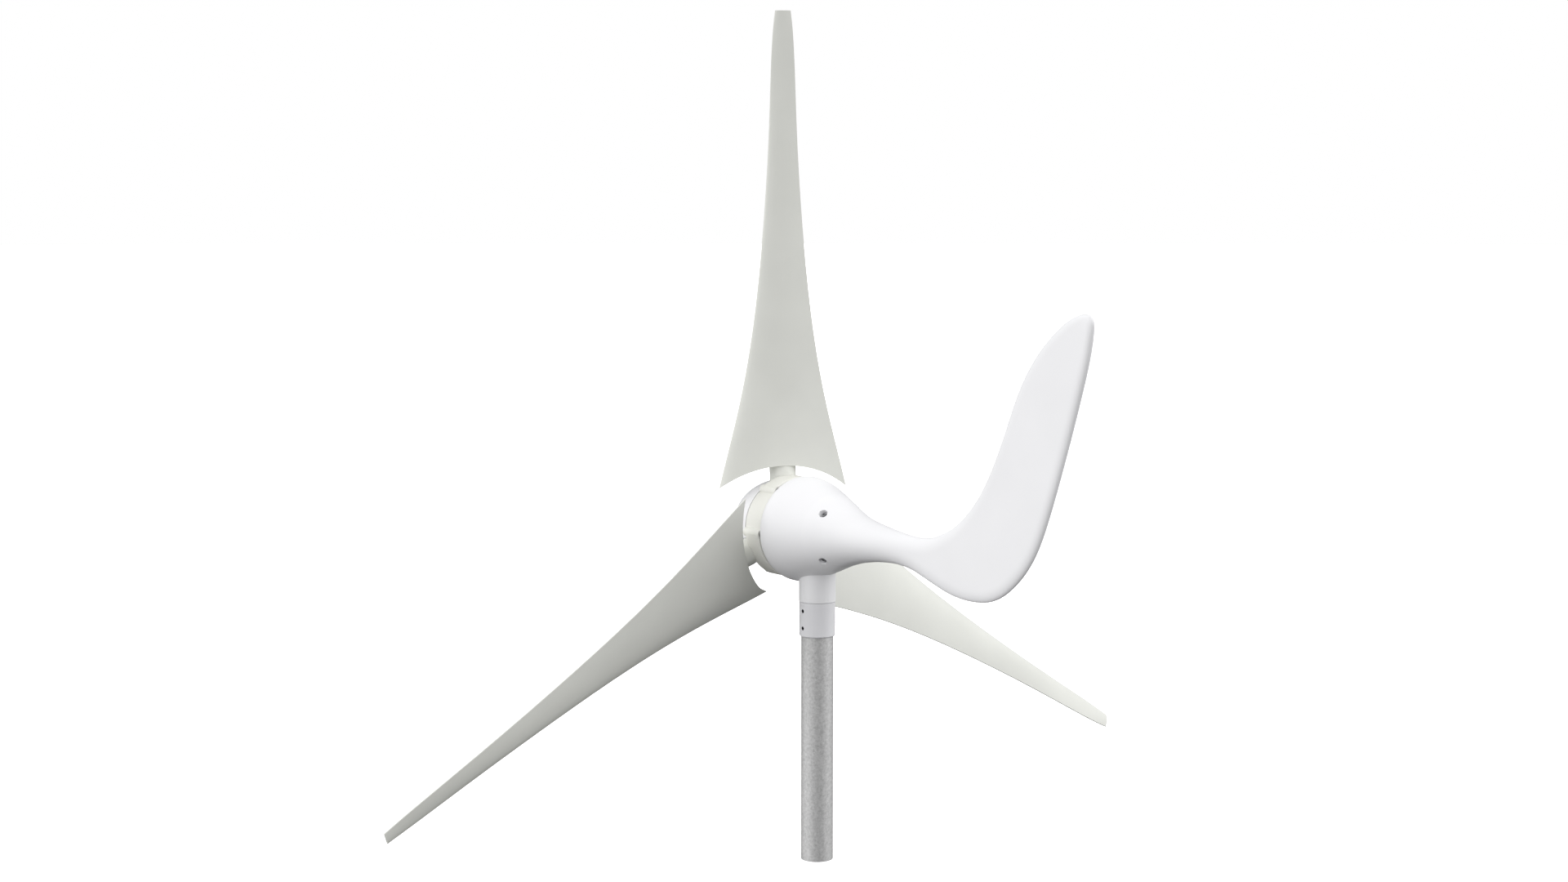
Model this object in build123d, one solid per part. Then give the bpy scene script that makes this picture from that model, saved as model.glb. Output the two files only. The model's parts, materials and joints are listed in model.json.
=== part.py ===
from build123d import *
import math
import os

# Small wind turbine with a moulded tail fin, on a stub of steel mast tube. Millimetres.
# Row frame: +Z up, origin at the centre of the mast tube's lower end. The wind comes from -Y.
# Most pieces are drawn in the rotor frame: origin at the rotor's centre, +Y along the shaft
# towards the tail, +Z up. to_row() carries them to the row frame.

# ---------------------------------------------------------------- driving dimensions
ROTOR_RADIUS = 775.0
BLADE_COUNT = 3
AXIS_HEIGHT = 500.0          # rotor axis above the mast tube's lower end
MAST_BEHIND_ROTOR = 90.0     # mast axis behind the rotor plane

# mast and yaw swivel, heights measured from the rotor axis
MAST_TUBE_RADIUS = 24.15     # 48.3 mm steel tube
MAST_TUBE_WALL = 3.2
MAST_TUBE_TOP = -111.8
SPIGOT_RADIUS = 23.8         # the tube's top is turned down to fit the collar
SPIGOT_BOTTOM = -159.5
COLLAR_RADIUS = 27.0
COLLAR_BOTTOM = -158.0
COLLAR_TOP = -105.9
COLLAR_DECK = 5.6            # thickness of the collar's top wall
NECK_RADIUS = 27.6
NECK_BOTTOM = -105.4
YAW_SHAFT_RADIUS = 15.0
YAW_SHAFT_BORE = 10.0
YAW_BEARING_OUTER = 21.0
YAW_BEARING_WIDTH = 7.0
LOWER_YAW_BEARING = -104.0   # lower face
UPPER_YAW_BEARING = -82.0    # lower face
SLIP_DISC_TOP = -63.0
BRUSH_RADII = (8.5, 13.5, 18.5)
BRUSH_HOLDER_BOTTOM = -58.4
BRUSH_TOP = -53.5
BRUSH_WELL_TOP = -47.2
BRUSH_SCREW_HEIGHT = -28.0
GRUB_HEIGHTS = (-119.0, -145.0)
GRUB_RADIUS = 3.0
# outlines about the mast axis: (radius, height)
SLIP_DISC_OUTLINE = (
    (3.0, -74.0), (9.9, -74.0), (9.9, -67.0), (21.5, -67.0), (21.5, SLIP_DISC_TOP), (3.0, SLIP_DISC_TOP),
)
YAW_SHAFT_OUTLINE = (
    (YAW_SHAFT_BORE, -150.0), (YAW_SHAFT_RADIUS, -150.0), (YAW_SHAFT_RADIUS, -116.0), (20.6, -116.0),
    (20.6, -111.55), (YAW_SHAFT_RADIUS, -111.55), (YAW_SHAFT_RADIUS, -74.9), (14.2, -74.9), (14.2, -73.6),
    (YAW_SHAFT_RADIUS, -73.6), (YAW_SHAFT_RADIUS, -67.1), (YAW_SHAFT_BORE, -67.1),
)
CABLE_GROMMET_OUTLINE = (
    (4.5, -153.0), (13.0, -153.0), (14.0, -151.5), (14.0, -150.05), (9.95, -150.05), (9.95, -143.0),
    (4.5, -143.0),
)

# blades: radius, chord and pitch angle to the rotor plane, and thickness over chord
BLADE_STATIONS = (
    (44.0, 203.0, 23.1, 0.110),
    (100.0, 176.5, 23.1, 0.112),
    (155.0, 148.7, 23.3, 0.115),
    (271.0, 101.5, 24.3, 0.115),
    (387.0, 71.9, 25.5, 0.120),
    (542.0, 47.7, 27.1, 0.135),
    (ROTOR_RADIUS, 23.6, 29.6, 0.165),
)
BLADE_CAMBER = 0.047
TRAILING_EDGE = 1.8          # thickness of the blunt trailing edge
AEROFOIL_STEPS = 7
ROOT_CUT_RADIUS = 158.0      # the blade's root edge is an arc, hollow towards the hub
ROOT_CUT_AT = 92.0           # where that arc crosses the blade's centre line
SHANK_RADIUS = 20.0
SHANK_INNER = 27.0
SHANK_TOP = 78.0             # above this the round shank fairs into the blade's front face
SHANK_FLANGE = (31.0, 37.0, 23.0)     # from, to, radius
# height, offset to the front, half-width, half-depth of the shank's fairing
FAIRING_SECTIONS = (
    (SHANK_TOP, 0.0, SHANK_RADIUS, SHANK_RADIUS),
    (96.0, 3.5, 20.0, 19.5),
    (135.0, 0.0, 17.0, 13.0),
    (185.0, -4.5, 9.0, 5.0),
)

# hub
SHAFT_RADIUS = 7.5
HUB_RADIUS = 70.0
HUB_LOBE_RADIUS = 77.5
HUB_REAR = 44.5
HUB_FRONT = -25.0
HUB_BOLT_CIRCLE = 62.5
HUB_BOLTS = 6
HUB_TURN = -4.0              # the bolts sit a little behind the blades' own spacing
HUB_BOLT_THREAD = 2.5
HUB_BOLT_HEAD = 4.25
HUB_BOLT_SEAT = 38.0         # floor of the pocket that each bolt's head stands in
HUB_POCKET_RADIUS = 4.7
HUB_RIB_CENTRE = 69.5
HUB_RIB_RADIUS = 7.5
HUB_RIB_FRONT = 5.0
HUB_SPLIT = 0.15             # half the gap between the hub's two halves
FIT_GAP = 0.05               # between a blade's shank and its seat
# rear half of the hub: (radius, distance behind the rotor plane)
HUB_DRUM_OUTLINE = (
    (SHAFT_RADIUS, HUB_SPLIT), (HUB_RADIUS - 1.5, HUB_SPLIT), (HUB_RADIUS, 3.0), (HUB_RADIUS + 1, HUB_REAR),
    (58.0, HUB_REAR), (56.0, 30.0), (24.0, 26.0), (20.0, 40.0), (SHAFT_RADIUS, 40.0),
)
HUB_LOBE_OUTLINE = (
    (60.0, 13.0), (HUB_LOBE_RADIUS, 13.0), (HUB_LOBE_RADIUS, HUB_REAR - 2),
    (HUB_LOBE_RADIUS - 2, HUB_REAR), (60.0, HUB_REAR),
)
HUB_LOBE_SPREAD = 60.0       # degrees
HUB_FRONT_OUTLINE = (
    (SHAFT_RADIUS, HUB_FRONT), (22.0, HUB_FRONT), (26.0, -21.0), (54.0, -21.0), (65.0, -12.0),
    (66.5, -HUB_SPLIT), (SHAFT_RADIUS, -HUB_SPLIT),
)
SPINNER_NOSE = -86.0
SPINNER_REAR = -0.2
SPINNER_POSTS = 3
SPINNER_POST_CIRCLE = 46.0
SPINNER_SCREW_SEAT = -34.2   # floor of each screw's well
SPINNER_OUTLINE = ((0.0, SPINNER_NOSE), (30.0, -77.0), (54.0, -53.0), (66.5, -24.0), (69.7, SPINNER_REAR))
SPINNER_LINING = ((0.0, -83.5), (28.6, -74.2), (51.9, -51.6), (64.1, -23.5), (67.2, SPINNER_REAR))

# rotor shaft, alternator
KEY_HALF_WIDTH = 2.5
KEY_SPAN = (14.0, 39.0)
KEY_TOP = 10.3
FRONT_BEARING = (50.0, 8.5, 20.0, 12.0)    # front face, bore radius, outer radius, width
REAR_BEARING = (93.0, 7.5, 17.5, 11.0)
STACK_FRONT = 64.0
STACK_REAR = 88.0
STATOR_RADIUS = 55.0
STATOR_BORE = 34.0
MAGNET_RADIUS = 33.2
STATOR_TEETH = 12
TOOTH_HALF_WIDTH = 4.0
YOKE_RADIUS = 49.6
MAGNETS = 8
CORE_RADIUS = 28.0
MAGNET_GAP = 5.0             # degrees between two magnets
COIL_SPAN = (38.2, 48.2)     # of each winding, out from the shaft
COIL_HALF_WIDTH = 9.3
# (radius, distance behind the rotor plane)
SHAFT_OUTLINE = (
    (0.0, -43.0), (5.0, -43.0), (6.0, -42.0), (6.0, -24.0), (SHAFT_RADIUS, -24.0), (SHAFT_RADIUS, 40.0),
    (11.0, 40.0), (11.0, 49.9), (8.5, 49.9), (8.5, 62.0), (10.0, 62.0), (10.0, 91.0),
    (REAR_BEARING[1], 91.0), (REAR_BEARING[1], 104.2), (7.0, 104.2), (7.0, 105.4),
    (REAR_BEARING[1], 105.4), (REAR_BEARING[1], 107.5), (0.0, 107.5),
)
SHAFT_SEAL_OUTLINE = ((11.06, 47.2), (19.98, 47.2), (19.98, 49.9), (12.5, 49.9), (12.5, 48.6), (11.06, 48.6))

# nacelle: (radius, distance behind the rotor plane) along its turned outline
HOUSING_FRONT = 46.8
HOUSING_OUTLINE = (
    (77.6, 51.5), (79.4, 58.5), (78.9, 66.0), (75.8, 80.0), (69.2, 100.0), (58.6, 130.0),
)
HOUSING_LIP = ((71.0, HOUSING_FRONT), (75.2, 48.3))
HOUSING_CAVITY = (
    (0.0, 53.0), (70.0, 53.0), (73.5, 57.0), (74.2, 66.0), (71.0, 80.0), (64.4, 100.0), (58.4, 117.8),
    (36.0, 117.8), (36.0, 131.0), (0.0, 131.0),
)
STATOR_RIBS = 6
COVER_SEAM = 130.0
SEAL_RADII = (56.2, 57.6)
BRACKET_SCREW_CIRCLE = 58.7
BRACKET_REAR = 101.0
BRACKET_CUT = -34.0          # the bracket stops at this height, over the brushes
COVER_HOLLOW = (
    (0.0, 129.0), (56.0, 129.0), (55.6, 130.0), (50.0, 145.0), (44.4, 160.0), (35.6, 186.0),
    (28.5, 212.0), (0.0, 212.0),
)
COVER_SCREW_AT = 153.0
COVER_SCREWS = 4
COVER_POCKET_RADIUS = 6.5
COVER_POCKET_FLOOR = 44.6
COVER_SCREW_TOP = 48.25
# tail boom sections: distance, half-width, top, bottom
BOOM_SECTIONS = (
    (130.0, 58.6, 58.6, -58.6),
    (145.0, 53.1, 53.1, -53.1),
    (160.0, 47.5, 47.4, -47.6),
    (190.0, 37.8, 37.2, -38.3),
    (220.0, 30.8, 30.6, -31.8),
    (250.0, 24.8, 26.2, -27.8),
    (285.0, 18.0, 21.6, -26.2),
    (320.0, 12.6, 17.6, -28.5),
    (355.0, 9.0, 15.0, -34.0),
    (392.0, 6.3, 16.0, -38.0),
)
# fin outline: (distance, height)
FIN_ROOT = ((300.0, -20.0), (300.0, 10.0))
FIN_NECK = ((330.0, 12.5), (375.0, 24.0))
FIN_FRONT_EDGE = (
    (413.0, 40.5), (452.0, 71.0), (490.0, 121.0), (521.0, 180.0), (549.0, 238.0), (588.0, 291.0),
    (632.0, 328.0),
)
FIN_TIP = ((664.0, 344.0), (684.0, 345.0), (693.0, 330.0))
FIN_REAR_EDGE = ((678.0, 266.0), (641.0, 160.0), (612.0, 84.0), (588.0, 30.0))
FIN_HEEL = (
    (570.0, 4.0), (536.0, -31.0), (494.0, -51.5), (454.0, -57.5), (411.0, -55.0), (367.0, -44.0),
    (330.0, -31.0),
)
FIN_TIP_SLOPE = (-0.22, -1)
FIN_HEEL_SLOPE = (-0.62, -1)
FIN_HALF_THICKNESS = 6.5
FIN_EDGE_ROUND = 6.2
HEATSINK_RADIUS = 31.0


# ---------------------------------------------------------------- helpers
os.makedirs("parts", exist_ok=True)
ROTOR_TO_ROW = Location((0, -MAST_BEHIND_ROTOR, AXIS_HEIGHT))


def to_row(shape):
    """Carry a shape from the rotor frame to the row frame."""
    return shape.moved(ROTOR_TO_ROW)


def save(name, *shapes):
    """Write one node, a group of one or more solids, in the row frame."""
    solids = [solid for shape in shapes for solid in shape.solids()]
    whole = Compound(children=solids) if len(solids) > 1 else solids[0]
    whole.label = name
    export_step(whole, f"parts/{name}.step")
    print(f"{name:26s} {len(solids):3d} solids {sum(s.volume for s in solids) / 1000:10.1f} cm3")


def turned_y(points):
    """A body turned about the shaft axis, from a closed outline of (radius, y)."""
    return revolve(make_face(Polyline(*points, close=True)), Axis.Y, 360)


def turned_z(points, at_y=0.0):
    """A body turned about a vertical axis at y, from a closed outline of (radius, z)."""
    outline = Polyline(*[(radius, 0, height) for radius, height in points], close=True)
    return revolve(make_face(outline), Axis.Z, 360).moved(Location((0, at_y, 0)))


def ring_y(inner, outer, front, rear):
    return turned_y(((inner, front), (outer, front), (outer, rear), (inner, rear)))


def ring_z(inner, outer, bottom, top, at_y=0.0):
    return turned_z(((inner, bottom), (outer, bottom), (outer, top), (inner, top)), at_y)


def rod(start, direction, radius, length):
    """A plain cylinder from a start point along a direction."""
    plane = Plane(origin=start, z_dir=direction)
    return extrude(plane * Circle(radius), length)


def block(x, y, z):
    """A box from its (low, high) pairs."""
    size = [high - low for low, high in (x, y, z)]
    middle = [(high + low) / 2 for low, high in (x, y, z)]
    return Box(*size).moved(Location(middle))


def about_shaft(shape, angle):
    return shape.rotate(Axis.Y, angle)


def around(shape, count, first=0.0):
    """Copies of a shape at equal steps about the shaft axis."""
    return [about_shaft(shape, first + 360.0 * i / count) for i in range(count)]


def socket_screw(thread, head, head_height, length):
    """A socket head screw along +Z: head top at z = 0, shank below."""
    body = Cylinder(head, head_height, align=(Align.CENTER, Align.CENTER, Align.MAX))
    body += Cylinder(thread, head_height + length, align=(Align.CENTER, Align.CENTER, Align.MAX))
    socket = extrude(RegularPolygon(thread * 0.95, 6), -head_height * 0.6)
    return body - socket


def placed(shape, origin, direction):
    """Put a shape drawn along +Z at an origin, with its +Z along a direction."""
    return Plane(origin=origin, z_dir=direction).location * shape


def ball_bearing(bore, outer, width, balls):
    """Inner ring, balls and outer ring of a bearing about +Z, lower face at z = 0."""
    pitch = (bore + outer) / 2
    ball = (outer - bore) * 0.30
    land = (outer - bore) * 0.30
    clearance = 0.03
    groove = Torus(pitch, ball + clearance).moved(Location((0, 0, width / 2)))
    inner = ring_z(bore, bore + land, 0, width) - groove
    outside = ring_z(outer - land, outer, 0, width) - groove
    spheres = [
        Sphere(ball).moved(Location((pitch * math.cos(a), pitch * math.sin(a), width / 2)))
        for a in [2 * math.pi * i / balls for i in range(balls)]
    ]
    return inner, spheres, outside


def save_bearing(name, bearing, location):
    inner, spheres, outside = bearing
    save(f"{name}_inner_ring", to_row(location * inner))
    save(f"{name}_balls", *[to_row(location * ball) for ball in spheres])
    save(f"{name}_outer_ring", to_row(location * outside))


# ---------------------------------------------------------------- blades
def blade_section(radius, chord, pitch, thickness):
    """Cambered aerofoil with a blunt trailing edge, across the upright blade's length."""
    turn = math.radians(pitch)
    plane = Plane(origin=(0, 0, radius), x_dir=(-math.cos(turn), math.sin(turn), 0), z_dir=(0, 0, 1))
    blunt = TRAILING_EDGE / 2
    upper = []
    lower = []
    for step in range(AEROFOIL_STEPS + 1):
        x = (step / AEROFOIL_STEPS) ** 2
        if x < 0.4:
            camber = BLADE_CAMBER * (0.8 * x - x * x) / 0.16
        else:
            camber = BLADE_CAMBER * (0.2 + 0.8 * x - x * x) / 0.36
        rounded = 0.2969 * math.sqrt(x) - 0.126 * x
        tapered = 0.2843 * x**3 - 0.3516 * x**2 - 0.1036 * x**4
        half = 5 * thickness * (rounded + tapered) * chord + blunt * x
        along = (x - 0.5) * chord
        upper.append((along, -(camber * chord + half)))
        lower.append((along, -(camber * chord - half)))
    skin = Spline(*reversed(upper), *lower[1:])
    edge = Line(lower[-1], upper[-1])
    return plane * make_face([skin, edge])


def upright_blade():
    """The blade that points up: aerofoil, hollowed root edge, round shank and its flange."""
    wing = loft([blade_section(*station) for station in BLADE_STATIONS])
    turn = math.radians(BLADE_STATIONS[0][2])
    chord_line = (math.cos(turn), -math.sin(turn), 0)
    face_normal = (math.sin(turn), math.cos(turn), 0)
    across = Plane(origin=(0, 0, ROOT_CUT_AT - ROOT_CUT_RADIUS), x_dir=chord_line, z_dir=face_normal)
    wing -= extrude(across * Circle(ROOT_CUT_RADIUS), BLADE_STATIONS[0][1] / 2, both=True)
    shank = rod((0, 0, SHANK_INNER), (0, 0, 1), SHANK_RADIUS, SHANK_TOP - SHANK_INNER)
    low, high, radius = SHANK_FLANGE
    flange = rod((0, 0, low), (0, 0, 1), radius, high - low)
    sections = []
    for height, forward, half_width, half_depth in FAIRING_SECTIONS:
        plane = Plane(origin=(0, 0, height), x_dir=chord_line, z_dir=(0, 0, 1))
        shape = Circle(half_width) if half_width == half_depth else Ellipse(half_width, half_depth)
        sections.append(plane * Pos(0, -forward) * shape)
    return wing + shank + flange + loft(sections)


def make_blades():
    blade = upright_blade()
    for i in range(BLADE_COUNT):
        save(f"blade_{i + 1}", to_row(about_shaft(blade, 360.0 * i / BLADE_COUNT)))


# ---------------------------------------------------------------- hub
def shank_spaces(gap):
    """The room that the blade shanks and their flanges take in the hub."""
    low, high, radius = SHANK_FLANGE
    bore = rod((0, 0, SHANK_INNER - 1), (0, 0, 1), SHANK_RADIUS + gap, ROOT_CUT_AT)
    bore += rod((0, 0, low - gap), (0, 0, 1), radius + gap, high - low + 2 * gap)
    return around(bore, BLADE_COUNT)


def hub_bolt_points():
    """Angle of each hub bolt about the shaft, from straight up."""
    step = 360.0 / HUB_BOLTS
    return [step * (i + 0.5) - HUB_TURN for i in range(HUB_BOLTS)]


def hub_rear_plate():
    """Rear half of the hub: a drum with a lobe behind each blade and a rib over each bolt."""
    plate = turned_y(HUB_DRUM_OUTLINE)
    lobe_face = make_face(Polyline(*HUB_LOBE_OUTLINE, close=True)).rotate(Axis.Y, -90)
    lobe = revolve(lobe_face, Axis.Y, HUB_LOBE_SPREAD).rotate(Axis.Y, -HUB_LOBE_SPREAD / 2)
    for piece in around(lobe, BLADE_COUNT, -HUB_TURN):
        plate += piece
    for angle in hub_bolt_points():
        rib = rod((0, HUB_RIB_FRONT, HUB_RIB_CENTRE), (0, 1, 0), HUB_RIB_RADIUS, HUB_REAR - HUB_RIB_FRONT)
        plate += about_shaft(rib, angle)
    depth = HUB_REAR - HUB_BOLT_SEAT + 1
    width = HUB_POCKET_RADIUS
    outer = HUB_BOLT_CIRCLE + 8
    for angle in hub_bolt_points():
        pocket = rod((0, HUB_BOLT_SEAT, HUB_BOLT_CIRCLE), (0, 1, 0), width, depth)
        pocket += rod((0, HUB_BOLT_SEAT, outer), (0, 1, 0), width, depth)
        pocket += block((-width, width), (HUB_BOLT_SEAT, HUB_REAR + 1), (HUB_BOLT_CIRCLE, outer))
        bolt_hole = rod((0, -1, HUB_BOLT_CIRCLE), (0, 1, 0), HUB_BOLT_THREAD + 0.1, HUB_BOLT_SEAT + 2)
        plate -= about_shaft(pocket, angle)
        plate -= about_shaft(bolt_hole, angle)
    for space in shank_spaces(FIT_GAP):
        plate -= space
    low, high = KEY_SPAN
    return plate - block((-KEY_HALF_WIDTH, KEY_HALF_WIDTH), (low - 0.5, high + 2), (0, KEY_TOP))


def spinner_posts(front, radius, length):
    """One rod for each spinner screw, from a distance along the shaft towards the tail."""
    return around(rod((0, front, SPINNER_POST_CIRCLE), (0, 1, 0), radius, length), SPINNER_POSTS, 60)


def hub_front_plate():
    """Front half of the hub, under the spinner, which carries the spinner's posts."""
    plate = turned_y(HUB_FRONT_OUTLINE)
    for post in spinner_posts(-34, 6.0, 20):
        plate += post
    for space in shank_spaces(FIT_GAP):
        plate -= space
    for angle in hub_bolt_points():
        plate -= about_shaft(rod((0, -10.5, HUB_BOLT_CIRCLE), (0, 1, 0), HUB_BOLT_THREAD, 12), angle)
    for hole in spinner_posts(-35, 1.75, 14):
        plate -= hole
    return plate


def spinner():
    """Domed nose cone: an even wall, a rear edge with a slot for each blade, three screw seats."""
    along_nose = ((1, 0), (0.05, 1))
    outside = Spline(*SPINNER_OUTLINE, tangents=along_nose)
    inside = Spline(*SPINNER_LINING, tangents=along_nose)
    rim = Line(outside @ 1, inside @ 1)
    nose = Line(outside @ 0, inside @ 0)
    shell = revolve(make_face([outside, rim, inside, nose]), Axis.Y, 360)
    for slot in around(rod((0, 0, 50), (0, 0, 1), SHANK_RADIUS + 0.8, 40), BLADE_COUNT):
        shell -= slot
    base = Polyline(outside @ 1, (0, SPINNER_REAR), (0, SPINNER_NOSE))
    solid_dome = revolve(make_face([outside, base]), Axis.Y, 360)
    for seat in spinner_posts(-90, 7.5, 90 + SPINNER_SCREW_SEAT):
        shell += seat & solid_dome
    for hole in spinner_posts(-90, 4.6, 50):
        shell -= hole
    for hole in spinner_posts(-90, 2.0, 60):
        shell -= hole
    return shell


def make_hub():
    save("hub_rear_plate", to_row(hub_rear_plate()))
    save("hub_front_plate", to_row(hub_front_plate()))
    save("spinner", to_row(spinner()))
    head_height = 5.0
    bolt = socket_screw(HUB_BOLT_THREAD, HUB_BOLT_HEAD, head_height, 42.0)
    bolt = placed(bolt, (0, HUB_BOLT_SEAT + head_height, HUB_BOLT_CIRCLE), (0, 1, 0))
    save("hub_bolts", *[to_row(about_shaft(bolt, angle)) for angle in hub_bolt_points()])
    small = placed(socket_screw(1.7, 3.2, 3.4, 12.0), (0, -43.5, SPINNER_POST_CIRCLE), (0, -1, 0))
    save("spinner_screws", *[to_row(copy) for copy in around(small, 3, 60)])


# ---------------------------------------------------------------- rotor shaft and alternator
def rotor_shaft():
    """Stepped shaft: nut thread, keyed hub seat, shoulder, bearing seats, ring groove."""
    keyway = block((-KEY_HALF_WIDTH, KEY_HALF_WIDTH), KEY_SPAN, (5.0, 12))
    return turned_y(SHAFT_OUTLINE) - keyway


def magnet_core():
    """Steel drum on the shaft, with six lightening holes, that the magnets are bonded to."""
    core = ring_y(10.0, CORE_RADIUS, STACK_FRONT, STACK_REAR)
    for hole in around(rod((0, STACK_FRONT - 1, 19), (0, 1, 0), 4.0, STACK_REAR - STACK_FRONT + 2), 6):
        core -= hole
    return core


def magnets():
    """Curved magnets with a gap between each two."""
    inner = CORE_RADIUS + 0.02
    face = make_face(Polyline(
        (inner, STACK_FRONT), (MAGNET_RADIUS, STACK_FRONT), (MAGNET_RADIUS, STACK_REAR), (inner, STACK_REAR),
        close=True,
    ))
    piece = revolve(face, Axis.Y, 360.0 / MAGNETS - MAGNET_GAP)
    return around(piece, MAGNETS)


def stator_core():
    """Laminated ring with open slots between its teeth."""
    core = ring_y(YOKE_RADIUS, STATOR_RADIUS, STACK_FRONT, STACK_REAR)
    shoes = ring_y(STATOR_BORE, STATOR_BORE + 3, STACK_FRONT, STACK_REAR)
    opening = block((-1.5, 1.5), (STACK_FRONT - 1, STACK_REAR + 1), (STATOR_BORE - 3, STATOR_BORE + 4))
    for cut in around(opening, STATOR_TEETH, 180.0 / STATOR_TEETH):
        shoes -= cut
    core += shoes
    width = (-TOOTH_HALF_WIDTH, TOOTH_HALF_WIDTH)
    tooth = block(width, (STACK_FRONT, STACK_REAR), (STATOR_BORE + 1, YOKE_RADIUS + 1))
    for copy in around(tooth, STATOR_TEETH):
        core += copy
    return core


def stator_windings():
    """One coil round each tooth, with rounded end turns."""
    wall = TOOTH_HALF_WIDTH + 0.1
    low, high = COIL_SPAN
    outer = block((-COIL_HALF_WIDTH, COIL_HALF_WIDTH), (STACK_FRONT - 6, STACK_REAR + 4), COIL_SPAN)
    outer = fillet(outer.edges().filter_by(Axis.Z), 4.5)
    inner = block((-wall, wall), (STACK_FRONT - 0.1, STACK_REAR + 0.1), (low - 1, high + 1))
    return around(outer - inner, STATOR_TEETH)


def shaft_nut():
    """Hexagon nut in front of the washer."""
    plane = Plane(origin=(0, -28.1, 0), z_dir=(0, -1, 0))
    hexagon = extrude(plane * RegularPolygon(9.5, 6, major_radius=False), 10)
    return hexagon - rod((0, -40, 0), (0, 1, 0), 6.0, 20)


def circlip(bore, outer, thickness):
    """Open retaining ring about +Z, from z = 0."""
    ring = ring_z(bore, outer, 0, thickness)
    lugs = Cylinder(1.9, thickness, align=(Align.CENTER, Align.CENTER, Align.MIN))
    for side in (-1, 1):
        ring += lugs.moved(Location((2.6 * side, outer - 0.6, 0)))
    ring -= block((-0.9, 0.9), (0, outer + 4), (-1, thickness + 1))
    for side in (-1, 1):
        ring -= Cylinder(0.7, 8).moved(Location((2.6 * side, outer - 0.5, 0)))
    return ring


def along_shaft(at_y):
    """Location that turns a piece drawn about +Z to lie about the shaft, from y onwards."""
    return Plane(origin=(0, at_y, 0), x_dir=(1, 0, 0), z_dir=(0, 1, 0)).location


def make_shaft_and_alternator():
    save("rotor_shaft", to_row(rotor_shaft()))
    low, high = KEY_SPAN
    width = KEY_HALF_WIDTH - 0.02
    save("shaft_key", to_row(block((-width, width), (low + FIT_GAP, high - FIT_GAP), (5.02, KEY_TOP - 0.3))))
    save("shaft_washer", to_row(ring_y(6.1, 15.0, -28.0, HUB_FRONT - 0.02)))
    save("shaft_nut", to_row(shaft_nut()))
    save("magnet_core", to_row(magnet_core()))
    save("magnets", *[to_row(piece) for piece in magnets()])
    save("stator_core", to_row(stator_core()))
    save("stator_windings", *[to_row(piece) for piece in stator_windings()])
    front, bore, outer, width = FRONT_BEARING
    save_bearing("front_bearing", ball_bearing(bore, outer, width, 8), along_shaft(front))
    front, bore, outer, width = REAR_BEARING
    save_bearing("rear_bearing", ball_bearing(bore, outer, width, 8), along_shaft(front))
    save("shaft_circlip", to_row(along_shaft(104.25) * circlip(7.05, 10.0, 1.1)))
    save("shaft_seal", to_row(turned_y(SHAFT_SEAL_OUTLINE)))


# ---------------------------------------------------------------- nacelle
def neck_space():
    """Bores of the yaw neck: two bearing seats, a lip over the upper one, room for the slip disc."""
    low = NECK_BOTTOM - 1
    seats = ring_z(0, YAW_BEARING_OUTER, low, UPPER_YAW_BEARING + YAW_BEARING_WIDTH, MAST_BEHIND_ROTOR)
    lip = ring_z(0, 19.0, low, -60, MAST_BEHIND_ROTOR)
    disc_room = ring_z(0, 23.5, -71.0, -40, MAST_BEHIND_ROTOR)
    return seats + lip + disc_room


def front_housing():
    """Alternator housing: turned shell with a front wall, stator ribs, rear spigot and yaw neck."""
    outline = Spline(*HOUSING_OUTLINE, tangents=((0.55, 0.85), (-0.355, 1)))
    nose = ThreePointArc(*HOUSING_LIP, HOUSING_OUTLINE[0])
    inside = Polyline(HOUSING_OUTLINE[-1], (0, COVER_SEAM), (0, HOUSING_FRONT), HOUSING_LIP[0])
    filled = revolve(make_face([nose, outline, inside]), Axis.Y, 360)
    cavity = turned_y(HOUSING_CAVITY)
    neck = ring_z(0, NECK_RADIUS, NECK_BOTTOM, -52, MAST_BEHIND_ROTOR)
    spigot = ring_y(36.0, 41.0, 118.0, 166.0)
    body = filled - cavity
    boss = ring_y(0, 25.5, 52.0, 63.0)
    ribs = []
    for rib in around(block((-5, 5), (57.5, 97.0), (STATOR_RADIUS + 0.02, 80.0)), STATOR_RIBS, 30):
        ribs.append(rib & filled)
    body -= ring_y(43.5, 53.5, 123.0, 131.0)
    body -= ring_y(*SEAL_RADII, COVER_SEAM - 1.0, COVER_SEAM + 1)
    body = body + boss + spigot
    for rib in ribs:
        body += rib
    body += neck - cavity
    body -= neck_space()
    body -= ring_y(0, STATOR_RADIUS + 0.02, 64.0, 96.0)
    body -= ring_y(0, 20.0, FRONT_BEARING[0], 70.0)
    body -= ring_y(0, 20.0, 47.2, 55.0)
    body -= ring_y(0, 12.0, 40.0, 55.0)
    for hole in around(rod((0, 82, BRACKET_SCREW_CIRCLE), (0, 1, 0), 2.0, 20), STATOR_RIBS, 30):
        body -= hole
    for hole in around(rod((0, COVER_SCREW_AT, 30), (0, 0, 1), 2.0, 20), COVER_SCREWS, 45):
        body -= hole
    return body


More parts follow.
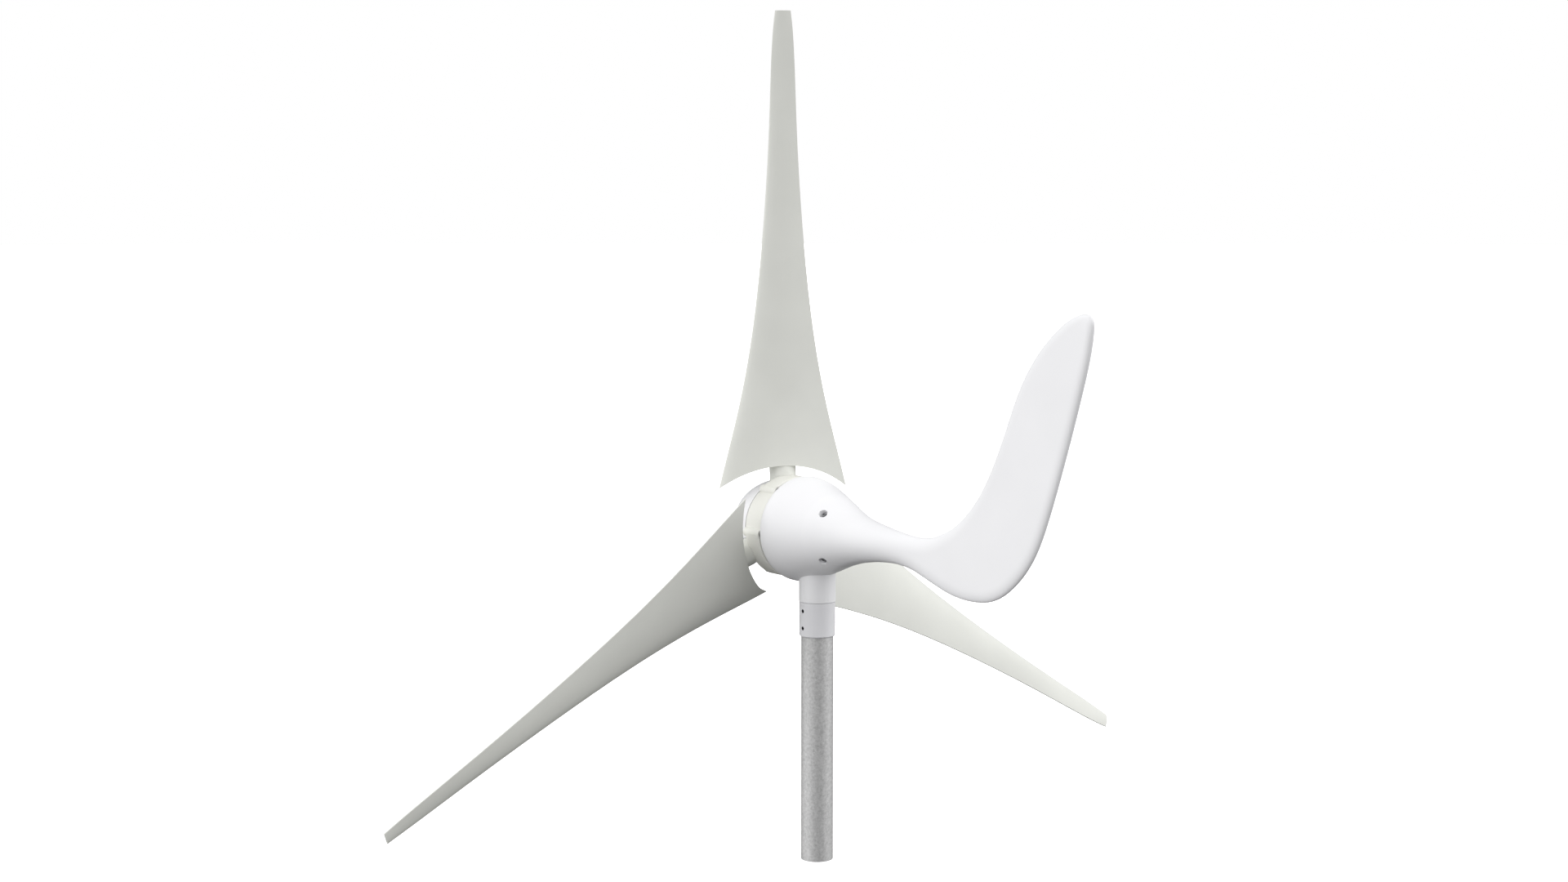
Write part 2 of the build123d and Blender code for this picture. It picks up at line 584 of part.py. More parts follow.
def fin_plate():
    """Flat upswept fin with a rounded edge, which starts inside the boom."""
    front = Spline(FIN_ROOT[1], *FIN_NECK, *FIN_FRONT_EDGE, FIN_TIP[0])
    tip = Spline(*FIN_TIP, tangents=(front % 1, FIN_TIP_SLOPE))
    rear = Spline(FIN_TIP[-1], *FIN_REAR_EDGE, FIN_HEEL[0], tangents=(FIN_TIP_SLOPE, FIN_HEEL_SLOPE))
    heel = Spline(*FIN_HEEL, FIN_ROOT[0], tangents=(FIN_HEEL_SLOPE, (-1, 0.3)))
    outline = make_face([front, tip, rear, heel, Line(*FIN_ROOT)])
    plate = extrude(Plane.YZ * outline, FIN_HALF_THICKNESS, both=True)
    root = FIN_ROOT[0][0] + 1
    rims = [edge for edge in plate.edges() if abs(abs(edge.center().X) - FIN_HALF_THICKNESS) < 0.01]
    return fillet([edge for edge in rims if edge.center().Y > root], FIN_EDGE_ROUND)


def tail_cover():
    """Tail cone, boom and fin in one moulding, hollow over the spigot."""
    sections = []
    for distance, half_width, top, bottom in BOOM_SECTIONS:
        plane = Plane(origin=(0, distance, (top + bottom) / 2), x_dir=(0, 0, -1), z_dir=(0, 1, 0))
        sections.append(plane * Ellipse((top - bottom) / 2, half_width))
    body = loft(sections) + fin_plate()
    hollow = turned_y(COVER_HOLLOW)
    for seat in around(rod((0, COVER_SCREW_AT, 41.3), (0, 0, 1), 9.5, 14), COVER_SCREWS, 45):
        hollow -= seat
    body -= hollow
    pocket = rod((0, COVER_SCREW_AT, COVER_POCKET_FLOOR), (0, 0, 1), COVER_POCKET_RADIUS, 20)
    for copy in around(pocket, COVER_SCREWS, 45):
        body -= copy
    for hole in around(rod((0, COVER_SCREW_AT, 38), (0, 0, 1), 2.15, 12), COVER_SCREWS, 45):
        body -= hole
    return body


def end_bracket():
    """Rear bearing plate, bolted to the stator ribs, cut away over the brushes."""
    front, _, bore, width = REAR_BEARING
    plate = ring_y(bore, 63.4, 97.05, BRACKET_REAR)
    plate += ring_y(bore, 22.0, front, front + width)
    plate -= block((-70, 70), (90, 110), (-70, BRACKET_CUT))
    plate -= rod((0, 96, BRUSH_SCREW_HEIGHT), (0, 1, 0), 1.6, 10)
    for hole in around(rod((0, 90, BRACKET_SCREW_CIRCLE), (0, 1, 0), 2.15, 20), STATOR_RIBS, 30):
        plate -= hole
    for window in around(rod((0, 90, 40), (0, 1, 0), 8.0, 20), 6, 0):
        plate -= window
    return plate


def rectifier_heatsink():
    """Finned disc behind the end bracket, on three stand-off legs."""
    fin_pitch = 6.0
    sink = ring_y(0, HEATSINK_RADIUS, 116.0, 119.5)
    for i in range(-4, 5):
        at_x = i * fin_pitch
        height = math.sqrt((HEATSINK_RADIUS - 2) ** 2 - at_x**2)
        sink += block((at_x - 0.9, at_x + 0.9), (119.0, 131.0), (-height, height))
    for leg in around(rod((0, BRACKET_REAR, 27.5), (0, 1, 0), 3.0, 16), 3):
        sink += leg
    return sink


def make_nacelle():
    save("front_housing", to_row(front_housing()))
    save("tail_cover", to_row(tail_cover()))
    inner, outer = SEAL_RADII
    save("cover_seal", to_row(ring_y(inner + 0.02, outer - 0.02, COVER_SEAM - 0.98, COVER_SEAM - 0.02)))
    screw = placed(socket_screw(2.0, 4.0, 3.6, 12.0), (0, COVER_SCREW_AT, COVER_SCREW_TOP), (0, 0, 1))
    save("cover_screws", *[to_row(copy) for copy in around(screw, COVER_SCREWS, 45)])
    save("end_bracket", to_row(end_bracket()))
    head_height = 4.0
    screw = socket_screw(2.0, 3.5, head_height, 16.0)
    screw = placed(screw, (0, BRACKET_REAR + head_height + 0.02, BRACKET_SCREW_CIRCLE), (0, 1, 0))
    kept = [copy for copy in around(screw, STATOR_RIBS, 30) if copy.center().Z > BRACKET_CUT]
    save("bracket_screws", *[to_row(copy) for copy in kept])
    save("rectifier_heatsink", to_row(rectifier_heatsink()))
    block_shape = block((-14, 14), (107.5, 115.95), (-12, 16))
    save("rectifier", to_row(fillet(block_shape.edges().filter_by(Axis.Y), 2.0)))


# ---------------------------------------------------------------- slip rings and brushes
def make_slip_rings():
    """Slip disc on the yaw shaft, and the holder with a sprung brush over each ring."""
    at_y = MAST_BEHIND_ROTOR
    save("slip_ring_disc", to_row(turned_z(SLIP_DISC_OUTLINE, at_y)))
    ring_top = SLIP_DISC_TOP + 1.0
    rings = [ring_z(radius - 1.9, radius + 1.9, SLIP_DISC_TOP, ring_top, at_y) for radius in BRUSH_RADII]
    save("slip_rings", *[to_row(ring) for ring in rings])
    holder = block((-6, 6), (at_y + 5.2, at_y + 22.4), (BRUSH_HOLDER_BOTTOM, -46))
    holder += block((-6, 6), (BRACKET_REAR + 0.3, 105.0), (-47, -24))
    brushes = []
    springs = []
    for radius in BRUSH_RADII:
        y = at_y + radius
        holder -= block((-3.1, 3.1), (y - 1.8, y + 1.8), (BRUSH_HOLDER_BOTTOM - 1, BRUSH_WELL_TOP))
        brushes.append(block((-3.0, 3.0), (y - 1.7, y + 1.7), (ring_top + FIT_GAP, BRUSH_TOP)))
        springs.append(ring_z(0.8, 1.5, BRUSH_TOP + FIT_GAP, BRUSH_WELL_TOP - FIT_GAP, y))
    holder -= rod((0, 100, BRUSH_SCREW_HEIGHT), (0, 1, 0), 1.6, 10)
    save("brush_holder", to_row(holder))
    save("brushes", *[to_row(brush) for brush in brushes])
    save("brush_springs", *[to_row(spring) for spring in springs])
    screw = placed(socket_screw(1.5, 2.8, 2.5, 7.5), (0, 107.55, BRUSH_SCREW_HEIGHT), (0, 1, 0))
    save("brush_holder_screw", to_row(screw))


# ---------------------------------------------------------------- mast and yaw swivel
def mast_collar():
    """Cap over the mast tube: sleeve, deck and a raised seat for the lower yaw bearing."""
    deck = COLLAR_TOP - COLLAR_DECK
    inner = SPIGOT_RADIUS + FIT_GAP
    bore = YAW_SHAFT_RADIUS + 0.01
    return turned_z((
        (inner, COLLAR_BOTTOM), (COLLAR_RADIUS - 1.2, COLLAR_BOTTOM), (COLLAR_RADIUS, COLLAR_BOTTOM + 1.2),
        (COLLAR_RADIUS, COLLAR_TOP - 0.6), (COLLAR_RADIUS - 0.6, COLLAR_TOP), (17.0, COLLAR_TOP),
        (17.0, LOWER_YAW_BEARING), (bore, LOWER_YAW_BEARING), (bore, deck), (inner, deck),
    ), MAST_BEHIND_ROTOR)


def mast_tube():
    """Steel tube, cut square below, with its top turned down to fit the collar."""
    bore = MAST_TUBE_RADIUS - MAST_TUBE_WALL
    return turned_z((
        (bore, -AXIS_HEIGHT), (MAST_TUBE_RADIUS, -AXIS_HEIGHT), (MAST_TUBE_RADIUS, SPIGOT_BOTTOM),
        (SPIGOT_RADIUS, SPIGOT_BOTTOM), (SPIGOT_RADIUS, MAST_TUBE_TOP), (bore, MAST_TUBE_TOP),
    ), MAST_BEHIND_ROTOR)


def make_mast():
    at_y = MAST_BEHIND_ROTOR
    save("mast_tube", to_row(mast_tube()))
    collar = mast_collar()
    grubs = []
    for height in GRUB_HEIGHTS:
        collar -= rod((COLLAR_RADIUS - 5, at_y, height), (1, 0, 0), GRUB_RADIUS, 8)
        grub = rod((SPIGOT_RADIUS + 0.03, at_y, height), (1, 0, 0), GRUB_RADIUS - 0.02, 2.65)
        hexagon = Plane(origin=(COLLAR_RADIUS, at_y, height), z_dir=(-1, 0, 0)) * RegularPolygon(1.7, 6)
        grubs.append(grub - extrude(hexagon, 2.0))
    save("mast_collar", to_row(collar))
    save("collar_grub_screws", *[to_row(grub) for grub in grubs])
    save("yaw_shaft", to_row(turned_z(YAW_SHAFT_OUTLINE, at_y)))
    bore = YAW_SHAFT_RADIUS
    for name, bottom in (("lower_yaw_bearing", LOWER_YAW_BEARING), ("upper_yaw_bearing", UPPER_YAW_BEARING)):
        bearing = ball_bearing(bore, YAW_BEARING_OUTER, YAW_BEARING_WIDTH, 14)
        save_bearing(name, bearing, Location((0, at_y, bottom)))
    spacer_bottom = LOWER_YAW_BEARING + YAW_BEARING_WIDTH
    save("yaw_bearing_spacer", to_row(ring_z(bore, 16.8, spacer_bottom, UPPER_YAW_BEARING, at_y)))
    ring = circlip(14.25, 17.2, 1.2).moved(Location((0, at_y, -74.85)))
    save("yaw_circlip", to_row(ring))
    save("cable_grommet", to_row(turned_z(CABLE_GROMMET_OUTLINE, at_y)))


make_blades()
make_hub()
make_shaft_and_alternator()
make_nacelle()
make_slip_rings()
make_mast()
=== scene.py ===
"""Looks of the small wind turbine: procedural finishes, studio light, floor and camera."""

import json
import math

import bmesh
import bpy
import numpy as np
from mathutils import Matrix, Vector


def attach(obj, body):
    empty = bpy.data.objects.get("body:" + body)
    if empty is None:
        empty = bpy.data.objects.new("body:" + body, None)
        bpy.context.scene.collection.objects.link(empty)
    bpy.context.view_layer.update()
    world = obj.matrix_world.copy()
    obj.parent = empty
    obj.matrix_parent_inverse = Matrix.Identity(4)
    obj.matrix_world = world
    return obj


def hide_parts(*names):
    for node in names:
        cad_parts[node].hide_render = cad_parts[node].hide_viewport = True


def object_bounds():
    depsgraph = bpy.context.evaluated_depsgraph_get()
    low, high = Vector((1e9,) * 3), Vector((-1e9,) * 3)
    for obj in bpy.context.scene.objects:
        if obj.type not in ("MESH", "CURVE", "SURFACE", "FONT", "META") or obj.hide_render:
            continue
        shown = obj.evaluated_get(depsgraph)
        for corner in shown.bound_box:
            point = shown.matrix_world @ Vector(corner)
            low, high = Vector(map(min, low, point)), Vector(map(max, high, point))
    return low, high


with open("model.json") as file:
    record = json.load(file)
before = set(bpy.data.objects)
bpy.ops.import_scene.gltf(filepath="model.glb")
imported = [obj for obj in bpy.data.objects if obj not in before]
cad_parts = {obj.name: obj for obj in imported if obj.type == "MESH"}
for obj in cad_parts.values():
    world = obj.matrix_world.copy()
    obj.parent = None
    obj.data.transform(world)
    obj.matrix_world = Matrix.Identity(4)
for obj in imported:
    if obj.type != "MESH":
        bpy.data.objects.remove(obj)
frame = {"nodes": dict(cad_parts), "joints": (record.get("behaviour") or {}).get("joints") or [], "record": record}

CAD_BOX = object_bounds()
HUB = Vector(next(joint["pos_m"] for joint in frame["joints"] if joint["name"] == "rotor_spin"))
MILLIMETRE = 0.001

# Camera: turned about the vertical, above the horizon, and aimed at a point over the hub.
CAMERA_AZIMUTH = math.radians(144.904)
CAMERA_ELEVATION = math.radians(5.565)
CAMERA_DISTANCE = 3.668
CAMERA_LENS = 55.325
AIM_FROM_HUB = Vector((-0.0022, 0.0, 0.1279))

FLOOR_RADIUS = 60.0
FLOOR_DROP = 0.5 * MILLIMETRE
FLOOR_SEGMENTS = 96
FLOOR_PAINT = 0.8
FLOOR_GLOW = 0.93

# Studio light: azimuth and elevation of each broad lamp in degrees, and how strong it is.
LAMPS = (
    (145, 28, 2.8),     # to the camera's right
    (-35, 28, 1.9),     # to the camera's left
    (25, 28, 0.9),      # on the fin's near face
    (85, 28, 0.4),      # beyond the tail
    (-17, -25, 0.8),    # low, for the underside
    (0, 90, 0.35),      # overhead
)
LAMP_FALLOFF = 3.0

# Tail moulding, in millimetres behind and above the rotor's centre. Each section runs from a point
# on the upper edge to one on the lower edge, with a half thickness, and the share of its half-span
# over which it thins out towards either edge. A share of one is an ellipse.
TAIL_SECTIONS = (
    ((130.0, 58.6), (130.0, -58.6), 58.6, 1.0),
    ((145.0, 53.1), (145.0, -53.1), 53.1, 1.0),
    ((160.0, 47.4), (160.0, -47.6), 47.5, 1.0),
    ((190.0, 37.2), (190.0, -38.3), 37.8, 1.0),
    ((220.0, 30.6), (220.0, -31.8), 30.8, 1.0),
    ((250.0, 26.0), (250.0, -27.8), 24.8, 1.0),
    ((285.0, 21.8), (284.0, -26.0), 18.0, 1.0),
    ((320.0, 18.6), (318.0, -29.5), 12.6, 0.95),
    ((350.0, 18.8), (345.0, -37.0), 9.6, 0.80),
    ((380.0, 25.5), (376.0, -46.5), 7.8, 0.60),
    ((413.0, 40.5), (418.0, -56.2), 6.9, 0.40),
    ((438.0, 58.5), (471.0, -57.2), 6.5, 0.28),
    ((462.0, 82.0), (521.5, -41.2), 6.5, 0.22),
    ((490.0, 121.0), (572.0, 3.0), 6.5, 0.20),
    ((521.0, 180.0), (608.2, 68.2), 6.5, 0.20),
    ((549.0, 238.0), (643.2, 159.3), 6.5, 0.22),
    ((588.0, 291.0), (666.0, 225.0), 6.5, 0.25),
    ((632.0, 328.0), (683.5, 280.7), 6.5, 0.35),
    ((657.0, 341.0), (691.5, 318.0), 6.2, 0.55),
    ((672.0, 345.5), (692.6, 334.5), 5.0, 0.85),
    ((680.0, 345.6), (689.0, 341.5), 3.0, 1.0),
    ((684.0, 345.2), (686.8, 344.0), 1.3, 1.0),
)
TAIL_STEPS = 6               # rings from one section to the next
TAIL_RING = 96               # points around each ring
HOLLOW_RING = 96
ROD_RING = 40
# The hollow over the nacelle's spigot: radius, distance behind the rotor's centre.
TAIL_HOLLOW = (
    (0.0, 129.0), (56.0, 129.0), (55.6, 130.0), (50.0, 145.0), (44.4, 160.0), (35.6, 186.0),
    (28.5, 212.0), (0.0, 212.0),
)
SCREW_AT = 153.0
SCREWS = 4
SCREW_SEAT = (9.5, 41.3, 60.0)       # radius, from, to: measured out from the shaft
SCREW_POCKET = (6.5, 44.6, 70.0)
SCREW_HOLE = (2.15, 36.0, 50.0)
SMOOTH_BELOW = math.radians(28)

# Grain of the finishes: noise scales per metre, and relief in metres.
CLOUD_GRAIN = 9.0
STIPPLE_GRAIN = 900.0
TARNISH_GRAIN = 60.0
POLISH_GRAIN = 700.0
ZINC_GRAIN = 240.0
ZINC_FLAKE_GRAIN = 520.0
ZINC_WANDER = 0.004
ZINC_FLAKE_SHARE = 0.35
FINE_STIPPLE = 0.02 * MILLIMETRE
STIPPLE = 0.03 * MILLIMETRE
COARSE_STIPPLE = 0.04 * MILLIMETRE


# ---------------------------------------------------------------- node helpers

def add(tree, kind, inputs=None, **settings):
    """A node with its settings made and its inputs given a value or linked to another socket."""
    made = tree.nodes.new("ShaderNode" + kind)
    for name, value in settings.items():
        setattr(made, name, value)
    for name, value in (inputs or {}).items():
        socket = made.inputs[name]
        if isinstance(value, bpy.types.NodeSocket):
            tree.links.new(value, socket)
        else:
            socket.default_value = value
    return made


def rgb(red, green, blue):
    """A colour given as it looks, 0 to 255, turned into the linear values that shaders use."""
    def linear(value):
        share = value / 255
        return share / 12.92 if share <= 0.04045 else ((share + 0.055) / 1.055) ** 2.4
    return (linear(red), linear(green), linear(blue), 1.0)


def blank(name, metallic=0.0):
    """A new material, its nodes and its shader; how metallic it is sits on the shader itself."""
    material = bpy.data.materials.new(name)
    material.use_nodes = True
    shader = material.node_tree.nodes["Principled BSDF"]
    shader.inputs["Metallic"].default_value = metallic
    return material, material.node_tree, shader


def place(tree):
    """Where a point lies on its own piece."""
    return add(tree, "TexCoord").outputs["Object"]


def noise(tree, scale, detail=3.0, roughness=0.5):
    """Cloudy noise around one half."""
    inputs = {"Vector": place(tree), "Scale": scale, "Detail": detail, "Roughness": roughness}
    return add(tree, "TexNoise", inputs).outputs["Fac"]


def spread(tree, value, low, high, start=0.3, end=0.7):
    """The value, which runs from start to end, stretched to run from low to high."""
    inputs = {"Value": value, "From Min": start, "From Max": end, "To Min": low, "To Max": high}
    return add(tree, "MapRange", inputs).outputs["Result"]


def between(tree, amount, first, second):
    """A colour between two, by an amount from 0 to 1."""
    # the mix node has sockets of one name for each data type, so they go by number
    made = add(tree, "Mix", data_type="RGBA")
    ends = {0: amount, 6: first, 7: second}
    for index, value in ends.items():
        if isinstance(value, bpy.types.NodeSocket):
            tree.links.new(value, made.inputs[index])
        else:
            made.inputs[index].default_value = value
    return made.outputs[2]


def link(tree, value, shader, socket):
    """Feed a value to one of a shader's sockets."""
    tree.links.new(value, shader.inputs[socket])


def bump(tree, shader, height, distance):
    """Relief of a given depth."""
    made = add(tree, "Bump", {"Height": height, "Distance": distance, "Strength": 1.0})
    link(tree, made.outputs["Normal"], shader, "Normal")


# ---------------------------------------------------------------- finishes

def moulded_plastic(name, tone, shade, roughness, stipple):
    """Moulded plastic: slow cloudiness in the colour, and a fine stipple in the gloss and relief."""
    material, tree, shader = blank(name)
    cloud = spread(tree, noise(tree, CLOUD_GRAIN), 0.0, 1.0)
    link(tree, between(tree, cloud, tone, shade), shader, "Base Color")
    grain = noise(tree, STIPPLE_GRAIN, 2.0)
    link(tree, spread(tree, grain, roughness - 0.05, roughness + 0.07), shader, "Roughness")
    bump(tree, shader, grain, stipple)
    return material


def plain_metal(name, tone, shade, roughness):
    """Machined steel or alloy with fine uneven polish."""
    material, tree, shader = blank(name, metallic=1.0)
    cloud = spread(tree, noise(tree, TARNISH_GRAIN), 0.0, 1.0)
    link(tree, between(tree, cloud, tone, shade), shader, "Base Color")
    polish = noise(tree, POLISH_GRAIN)
    link(tree, spread(tree, polish, roughness - 0.06, roughness + 0.08), shader, "Roughness")
    return material


def galvanised(name):
    """Hot-dip zinc: small crystal flakes under fine clouds, in close greys."""
    material, tree, shader = blank(name, metallic=0.5)
    wander = add(tree, "TexNoise", {"Vector": place(tree), "Scale": ZINC_GRAIN, "Detail": 3.0})
    bent = {0: wander.outputs["Color"], 1: (ZINC_WANDER, ZINC_WANDER, ZINC_WANDER), 2: place(tree)}
    warped = add(tree, "VectorMath", bent, operation="MULTIPLY_ADD").outputs[0]
    cells = add(tree, "TexVoronoi", {"Vector": warped, "Scale": ZINC_FLAKE_GRAIN}).outputs["Color"]
    flake = add(tree, "SeparateColor", {0: cells}).outputs[0]
    cloud = spread(tree, noise(tree, ZINC_GRAIN, 4.0, 0.6), 0.0, 1.0 - ZINC_FLAKE_SHARE)
    shares = {0: flake, 1: ZINC_FLAKE_SHARE, 2: cloud}
    mottle = add(tree, "Math", shares, operation="MULTIPLY_ADD").outputs[0]
    link(tree, between(tree, mottle, rgb(176, 176, 176), rgb(216, 216, 216)), shader, "Base Color")
    link(tree, spread(tree, mottle, 0.42, 0.55, 0.0, 1.0), shader, "Roughness")
    return material


FINISHES = {
    "blade_composite": moulded_plastic(
        "blade_composite", rgb(228, 229, 223), rgb(222, 223, 217), 0.45, FINE_STIPPLE),
    "hub_casting": moulded_plastic(
        "hub_casting", rgb(235, 235, 229), rgb(229, 229, 222), 0.45, STIPPLE),
    "white_shell": moulded_plastic(
        "white_shell", rgb(242, 242, 244), rgb(239, 239, 241), 0.40, FINE_STIPPLE),
    "painted_housing": moulded_plastic(
        "painted_housing", rgb(241, 241, 243), rgb(238, 238, 240), 0.40, FINE_STIPPLE),
    "collar_paint": moulded_plastic(
        "collar_paint", rgb(231, 231, 234), rgb(224, 224, 227), 0.42, STIPPLE),
    "galvanised_tube": galvanised("galvanised_tube"),
    "dark_fasteners": plain_metal("dark_fasteners", rgb(70, 70, 74), rgb(48, 48, 52), 0.45),
    "zinc_fasteners": plain_metal("zinc_fasteners", rgb(158, 158, 160), rgb(132, 132, 135), 0.40),
    "shaft_steel": plain_metal("shaft_steel", rgb(190, 190, 192), rgb(165, 165, 168), 0.3),
    "bearing_steel": plain_metal("bearing_steel", rgb(205, 206, 208), rgb(190, 191, 194), 0.18),
    "magnet_nickel": plain_metal("magnet_nickel", rgb(205, 203, 196), rgb(190, 188, 180), 0.25),
    "core_steel": plain_metal("core_steel", rgb(120, 122, 126), rgb(98, 100, 104), 0.5),
    "copper": plain_metal("copper", rgb(190, 110, 70), rgb(160, 84, 50), 0.35),
    "bracket_alloy": plain_metal("bracket_alloy", rgb(195, 197, 199), rgb(178, 180, 183), 0.42),
    "black_moulding": moulded_plastic(
        "black_moulding", rgb(38, 38, 40), rgb(28, 28, 30), 0.5, STIPPLE),
    "carbon": moulded_plastic("carbon", rgb(52, 52, 54), rgb(40, 40, 42), 0.6, STIPPLE),
    "spring_bronze": plain_metal("spring_bronze", rgb(190, 150, 90), rgb(165, 126, 72), 0.3),
    "rubber_seal": moulded_plastic(
        "rubber_seal", rgb(34, 34, 34), rgb(26, 26, 26), 0.7, COARSE_STIPPLE),
}

for part in frame["record"]["subparts"]:
    materials = frame["nodes"][part["node"]].data.materials
    materials.clear()
    materials.append(FINISHES[part["material_slot"]])


# ---------------------------------------------------------------- tail moulding

def mesh_object(name, points, faces):
    """A closed solid from its points and faces, with all faces turned outwards."""
    mesh = bpy.data.meshes.new(name)
    mesh.from_pydata(points, [], faces)
    shape = bmesh.new()
    shape.from_mesh(mesh)
    bmesh.ops.recalc_face_normals(shape, faces=shape.faces)
    shape.to_mesh(mesh)
    shape.free()
    made = bpy.data.objects.new(name, mesh)
    bpy.context.scene.collection.objects.link(made)
    return made


def skinned(name, rings):
    """A closed solid through rings of points, flat at both ends."""
    count = len(rings[0])
    points = [point for ring in rings for point in ring]
    faces = [tuple(reversed(range(count))), tuple(range(len(points) - count, len(points)))]
    for start in range(0, len(points) - count, count):
        for i in range(count):
            j = (i + 1) % count
            faces.append((start + i, start + j, start + count + j, start + count + i))
    return mesh_object(name, points, faces)


def spline_rows(rows, steps):
    """Rows of numbers made finer: a natural cubic spline through them, row by row."""
    rows = np.array(rows)
    last = len(rows) - 1
    matrix = np.eye(last + 1)
    bend = np.zeros_like(rows)
    for i in range(1, last):
        matrix[i, i - 1:i + 2] = (1, 4, 1)
        bend[i] = 6 * (rows[i + 1] - 2 * rows[i] + rows[i - 1])
    bend = np.linalg.solve(matrix, bend)
    fine = []
    for i in range(last):
        for u in np.arange(steps) / steps:
            sag = u * (1 - u) / 6 * ((2 - u) * bend[i] + (1 + u) * bend[i + 1])
            fine.append((1 - u) * rows[i] + u * rows[i + 1] - sag)
    fine.append(rows[last])
    return fine


def from_hub(across, behind, above):
    """A point given in millimetres from the rotor's centre, as the scene has it."""
    return HUB + Vector((across, behind, above)) * MILLIMETRE


def tail_ring(row):
    """Points around one section: flat-sided in the middle, thinning out to both edges."""
    top = Vector((0, row[0], row[1]))
    bottom = Vector((0, row[2], row[3]))
    half_thickness = row[4]
    share = min(row[5], 1.0)
    middle = (top + bottom) / 2
    half_span = (top - bottom).length / 2
    upward = (top - bottom).normalized()
    reach = share * half_span
    ring = []
    for i in range(TAIL_RING):
        angle = math.tau * i / TAIL_RING
        up = half_span * math.cos(angle)
        thinning = max(0.0, reach - (half_span - abs(up))) / reach
        width = half_thickness * math.sqrt(max(0.0, 1 - thinning ** 2))
        side = math.copysign(width, math.sin(angle))
        point = middle + upward * up
        ring.append(from_hub(side, point.y, point.z))
    return ring


def turned(name, outline):
    """A solid of revolution about the shaft, from points of (radius, distance behind the rotor)."""
    points = []
    rims = []
    for radius, behind in outline:
        count = HOLLOW_RING if radius else 1
        rims.append(range(len(points), len(points) + count))
        for i in range(count):
            angle = math.tau * i / HOLLOW_RING
            points.append(from_hub(radius * math.sin(angle), behind, radius * math.cos(angle)))
    faces = []
    for first, second in zip(rims, rims[1:]):
        for i in range(HOLLOW_RING):
            corners = [first[i % len(first)], first[(i + 1) % len(first)]]
            corners += [second[(i + 1) % len(second)], second[i % len(second)]]
            faces.append(tuple(dict.fromkeys(corners)))
    return mesh_object(name, points, faces)


def radial_rods(name, radius, start, end):
    """One rod at each screw, out from the shaft's axis."""
    points = []
    faces = []
    for screw in range(SCREWS):
        turn = Matrix.Rotation(math.tau * (screw + 0.5) / SCREWS, 3, "Y")
        base = len(points)
        for height in (start, end):
            for i in range(ROD_RING):
                angle = math.tau * i / ROD_RING
                spoke = turn @ Vector((radius * math.cos(angle), radius * math.sin(angle), height))
                points.append(from_hub(spoke.x, SCREW_AT + spoke.y, spoke.z))
        faces.append(tuple(reversed(range(base, base + ROD_RING))))
        faces.append(tuple(range(base + ROD_RING, base + 2 * ROD_RING)))
        for i in range(ROD_RING):
            j = (i + 1) % ROD_RING
            faces.append((base + i, base + j, base + ROD_RING + j, base + ROD_RING + i))
    return mesh_object(name, points, faces)


def cut(piece, tool):
    """Take a tool away from a piece, and drop the tool."""
    step = piece.modifiers.new("cut", "BOOLEAN")
    step.operation = "DIFFERENCE"
    step.solver = "EXACT"
    step.object = tool
    graph = bpy.context.evaluated_depsgraph_get()
    result = bpy.data.meshes.new_from_object(piece.evaluated_get(graph))
    piece.modifiers.clear()
    piece.data = result
    bpy.data.objects.remove(tool)


def tail_shell():
    """Tail cone, boom and fin in one smooth moulding, hollow over the nacelle's spigot."""
    rows = [(*top, *bottom, half, share) for top, bottom, half, share in TAIL_SECTIONS]
    shell = skinned("tail_shell", [tail_ring(row) for row in spline_rows(rows, TAIL_STEPS)])
    hollow = turned("tail_hollow", TAIL_HOLLOW)
    cut(hollow, radial_rods("screw_seats", *SCREW_SEAT))
    cut(shell, hollow)
    cut(shell, radial_rods("screw_pockets", *SCREW_POCKET))
    cut(shell, radial_rods("screw_holes", *SCREW_HOLE))
    shell.data.shade_smooth()
    shell.data.set_sharp_from_angle(angle=SMOOTH_BELOW)
    shell.data.materials.clear()
    shell.data.materials.append(FINISHES["white_shell"])
    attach(shell, "nacelle")
    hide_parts("tail_cover")


# ---------------------------------------------------------------- studio

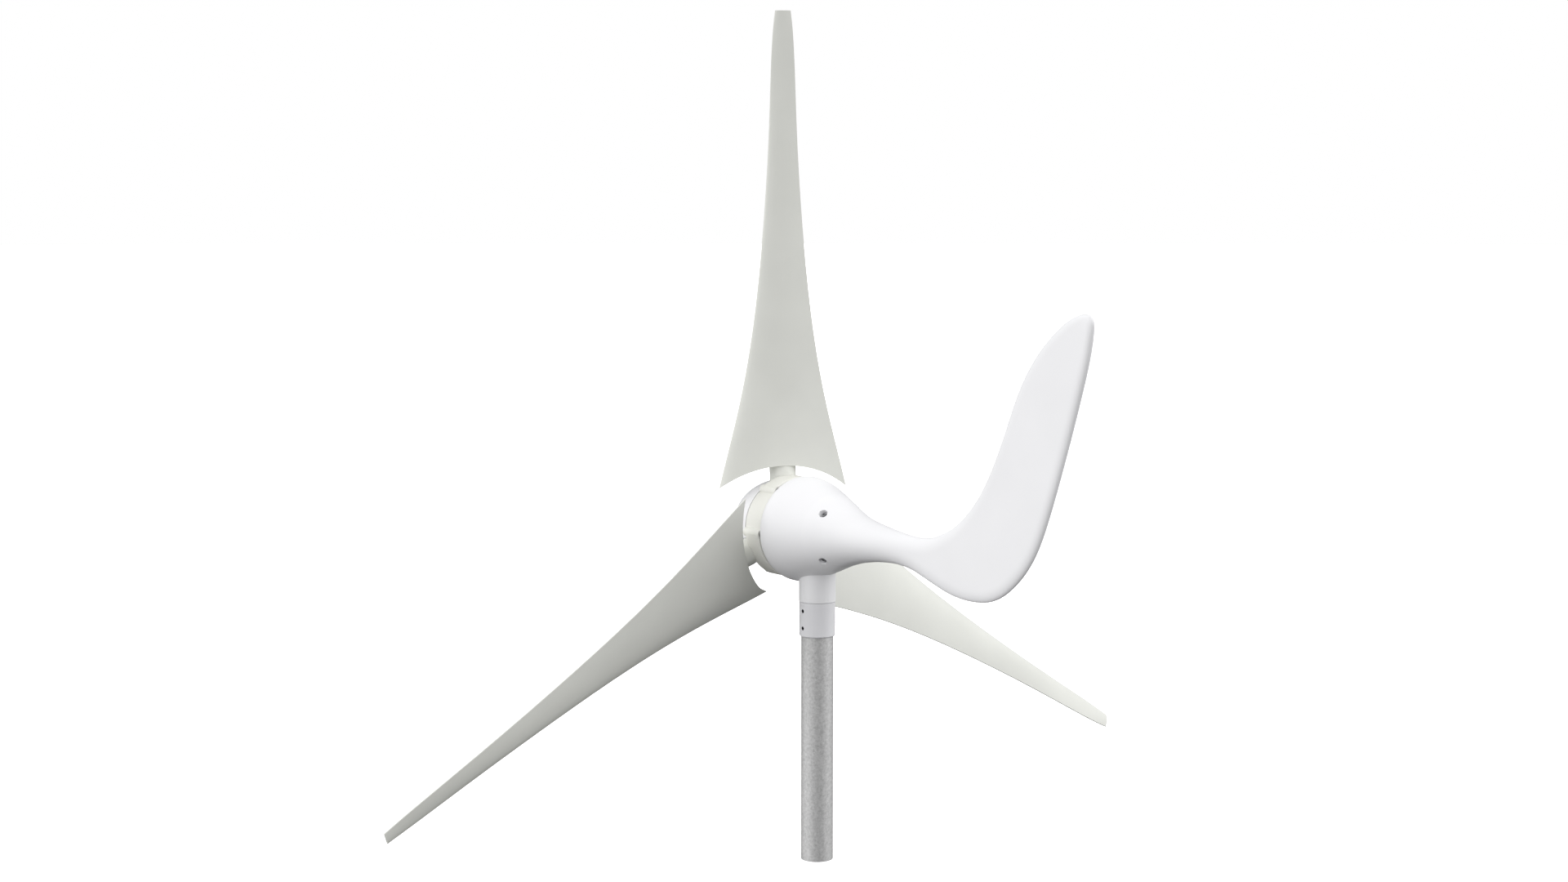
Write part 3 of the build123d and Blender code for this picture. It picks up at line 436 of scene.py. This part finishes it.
def world_light():
    """A white room for the lens, and broad soft lamps around the turbine for the light itself."""
    world = bpy.data.worlds.new("studio")
    bpy.context.scene.world = world
    world.use_nodes = True
    tree = world.node_tree
    tree.nodes.clear()
    direction = add(tree, "TexCoord").outputs["Generated"]
    total = 0.0
    for azimuth, elevation, strength in LAMPS:
        level = math.cos(math.radians(elevation))
        towards = (
            level * math.cos(math.radians(azimuth)),
            level * math.sin(math.radians(azimuth)),
            math.sin(math.radians(elevation)))
        facing = add(tree, "VectorMath", {0: direction, 1: towards}, operation="DOT_PRODUCT")
        lit = add(tree, "Math", {0: facing.outputs["Value"], 1: 0.0}, operation="MAXIMUM")
        lobe = add(tree, "Math", {0: lit.outputs[0], 1: LAMP_FALLOFF}, operation="POWER")
        scaled = {0: lobe.outputs[0], 1: strength, 2: total}
        total = add(tree, "Math", scaled, operation="MULTIPLY_ADD").outputs[0]
    soft = add(tree, "Background", {"Strength": total})
    white = add(tree, "Background", {"Color": (1, 1, 1, 1), "Strength": 1.0})
    seen = add(tree, "LightPath").outputs["Is Camera Ray"]
    mixed = add(tree, "MixShader", {0: seen, 1: soft.outputs[0], 2: white.outputs[0]})
    add(tree, "OutputWorld", {"Surface": mixed.outputs[0]})


def add_camera():
    """A camera that looks at the hub from behind, by the tail."""
    away = Vector((
        math.sin(CAMERA_AZIMUTH) * math.cos(CAMERA_ELEVATION),
        -math.cos(CAMERA_AZIMUTH) * math.cos(CAMERA_ELEVATION),
        math.sin(CAMERA_ELEVATION)))
    data = bpy.data.cameras.new("camera")
    data.lens = CAMERA_LENS
    camera = bpy.data.objects.new("camera", data)
    bpy.context.scene.collection.objects.link(camera)
    camera.location = HUB + AIM_FROM_HUB + away * CAMERA_DISTANCE
    camera.rotation_mode = "QUATERNION"
    camera.rotation_quaternion = away.to_track_quat("Z", "Y")
    bpy.context.scene.camera = camera


def add_floor():
    """A plain pale floor, lit and glowing so that its edge melts into the white room."""
    shape = bmesh.new()
    bmesh.ops.create_circle(shape, cap_ends=True, segments=FLOOR_SEGMENTS, radius=FLOOR_RADIUS)
    mesh = bpy.data.meshes.new("floor")
    shape.to_mesh(mesh)
    shape.free()
    floor = bpy.data.objects.new("floor", mesh)
    bpy.context.scene.collection.objects.link(floor)
    floor.location.z = CAD_BOX[0].z - FLOOR_DROP
    material = bpy.data.materials.new("floor")
    material.use_nodes = True
    tree = material.node_tree
    tree.nodes.clear()
    paint = add(tree, "BsdfDiffuse", {"Color": (FLOOR_PAINT, FLOOR_PAINT, FLOOR_PAINT, 1)})
    glow = add(tree, "Emission", {"Strength": FLOOR_GLOW})
    both = add(tree, "AddShader", {0: paint.outputs[0], 1: glow.outputs[0]})
    add(tree, "OutputMaterial", {"Surface": both.outputs[0]})
    mesh.materials.append(material)
    floor.visible_diffuse = False
    floor.visible_glossy = False


bpy.context.scene.view_settings.view_transform = "Standard"
tail_shell()
world_light()
add_camera()
add_floor()
